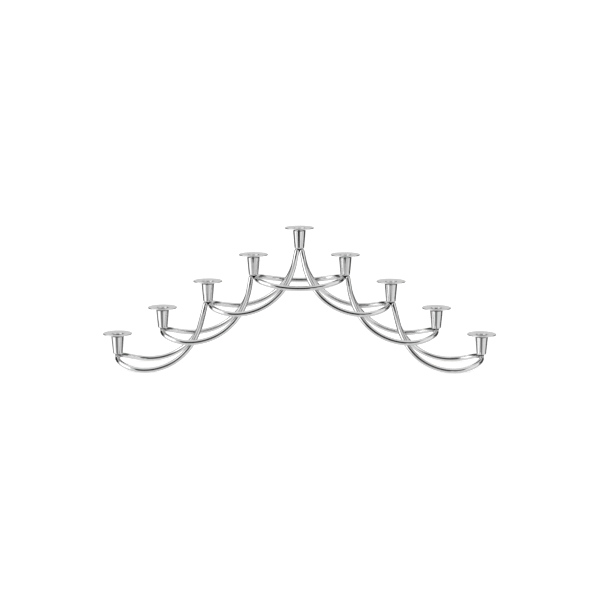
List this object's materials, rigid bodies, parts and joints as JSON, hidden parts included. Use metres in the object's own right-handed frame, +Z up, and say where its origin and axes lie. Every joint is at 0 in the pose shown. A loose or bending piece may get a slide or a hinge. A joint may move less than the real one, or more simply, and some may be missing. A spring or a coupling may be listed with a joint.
{
  "type": "menorah",
  "caption": "Stepped menorah of interlaced bent-rod loops in polished steel, each loop carrying candle cups with flared drip pans that rise to a middle cup.",
  "frame": {"origin": "on the table under the middle cup, at the centre of the bounding box's lower face", "axes": "+X along the row of cups to the viewer's right, +Y away from the viewer, +Z up"},
  "size_m": [0.3948, 0.0624, 0.1417],
  "materials": {
    "cup_steel": "turned stainless steel, mirror-polished",
    "pan_steel": "spun stainless steel sheet, mirror-polished",
    "rod_steel": "bent stainless steel rod, mirror-polished",
    "weld_metal": "filler metal, polished by hand"
  },
  "bodies": {
    "stand": {"cup_1": "cup_steel", "cup_2": "cup_steel", "cup_3": "cup_steel", "cup_4": "cup_steel", "cup_5": "cup_steel", "cup_6": "cup_steel", "cup_7": "cup_steel", "cup_8": "cup_steel", "cup_9": "cup_steel", "loop_1_3": "rod_steel", "loop_2_4": "rod_steel", "loop_3_5": "rod_steel", "loop_4_6": "rod_steel", "loop_5_7": "rod_steel", "loop_6_8": "rod_steel", "loop_7_9": "rod_steel", "cup_welds": "weld_metal", "crossing_welds": "weld_metal"},
    "pan_1": {"drip_pan_1": "pan_steel"},
    "pan_2": {"drip_pan_2": "pan_steel"},
    "pan_3": {"drip_pan_3": "pan_steel"},
    "pan_4": {"drip_pan_4": "pan_steel"},
    "pan_5": {"drip_pan_5": "pan_steel"},
    "pan_6": {"drip_pan_6": "pan_steel"},
    "pan_7": {"drip_pan_7": "pan_steel"},
    "pan_8": {"drip_pan_8": "pan_steel"},
    "pan_9": {"drip_pan_9": "pan_steel"}
  },
  "joints": [
    {"name": "pan_1_lift", "type": "slide", "parent": "stand", "child": "pan_1", "axis": [0, 0, 1], "range_m": [0, 0.006]},
    {"name": "pan_2_lift", "type": "slide", "parent": "stand", "child": "pan_2", "axis": [0, 0, 1], "range_m": [0, 0.006]},
    {"name": "pan_3_lift", "type": "slide", "parent": "stand", "child": "pan_3", "axis": [0, 0, 1], "range_m": [0, 0.006]},
    {"name": "pan_4_lift", "type": "slide", "parent": "stand", "child": "pan_4", "axis": [0, 0, 1], "range_m": [0, 0.006]},
    {"name": "pan_5_lift", "type": "slide", "parent": "stand", "child": "pan_5", "axis": [0, 0, 1], "range_m": [0, 0.006]},
    {"name": "pan_6_lift", "type": "slide", "parent": "stand", "child": "pan_6", "axis": [0, 0, 1], "range_m": [0, 0.006]},
    {"name": "pan_7_lift", "type": "slide", "parent": "stand", "child": "pan_7", "axis": [0, 0, 1], "range_m": [0, 0.006]},
    {"name": "pan_8_lift", "type": "slide", "parent": "stand", "child": "pan_8", "axis": [0, 0, 1], "range_m": [0, 0.006]},
    {"name": "pan_9_lift", "type": "slide", "parent": "stand", "child": "pan_9", "axis": [0, 0, 1], "range_m": [0, 0.006]}
  ]
}
